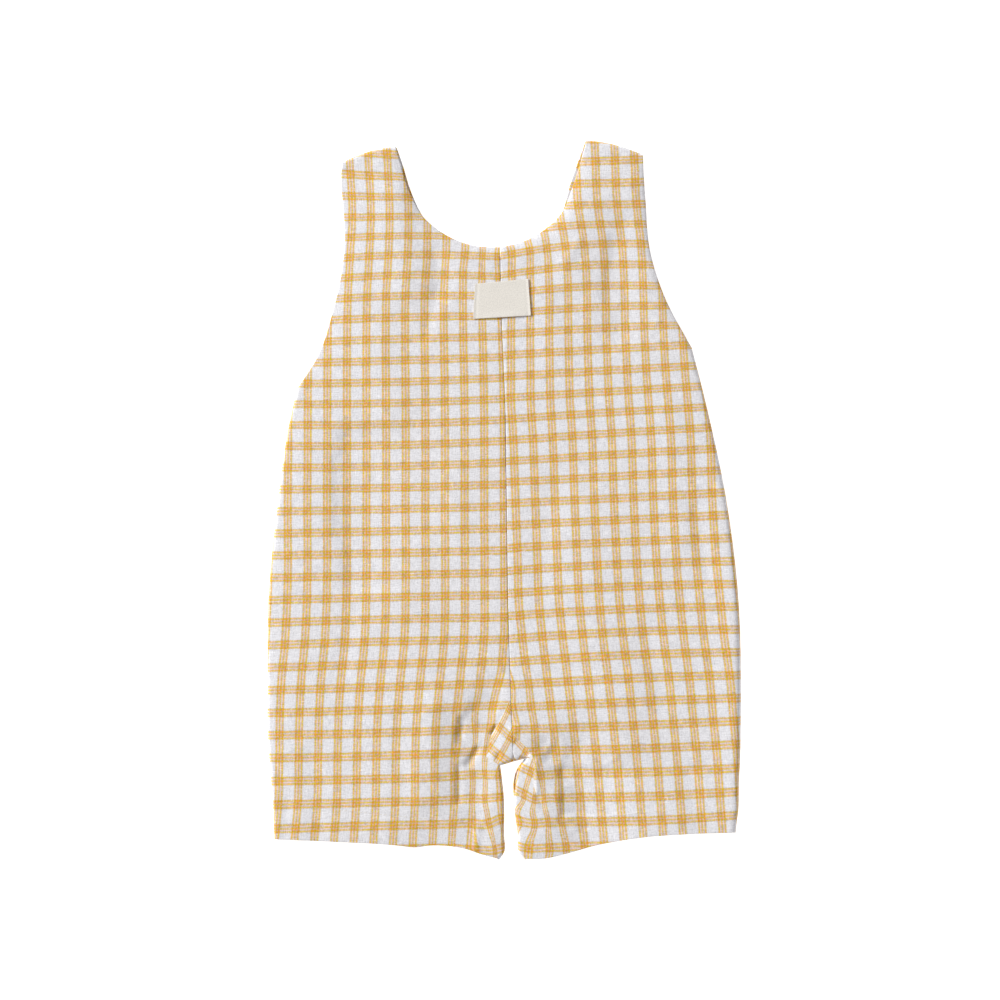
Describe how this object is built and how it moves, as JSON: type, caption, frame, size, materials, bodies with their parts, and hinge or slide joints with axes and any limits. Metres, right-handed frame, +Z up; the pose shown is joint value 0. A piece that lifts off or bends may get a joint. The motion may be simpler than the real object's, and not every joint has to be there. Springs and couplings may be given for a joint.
{
  "type": "dungarees",
  "caption": "Sleeveless baby dungarees with wide shoulder straps and short legs in checked cloth, laid flat on a surface with the front facing up.",
  "frame": {"origin": "middle of the outline seen from above, on the surface that the garment lies on", "axes": "+Y towards the neck, +Z up out of the front, +X towards the wearer's left side"},
  "size_m": [0.2764, 0.4194, 0.008],
  "materials": {
    "cloth": "matt woven cotton, white with mustard checks",
    "label_tape": "matt cream woven tape, blank"
  },
  "bodies": {
    "root": {"front_right": "cloth", "front_left": "cloth", "back_right": "cloth", "back_left": "cloth", "label": "label_tape"}
  },
  "joints": []
}
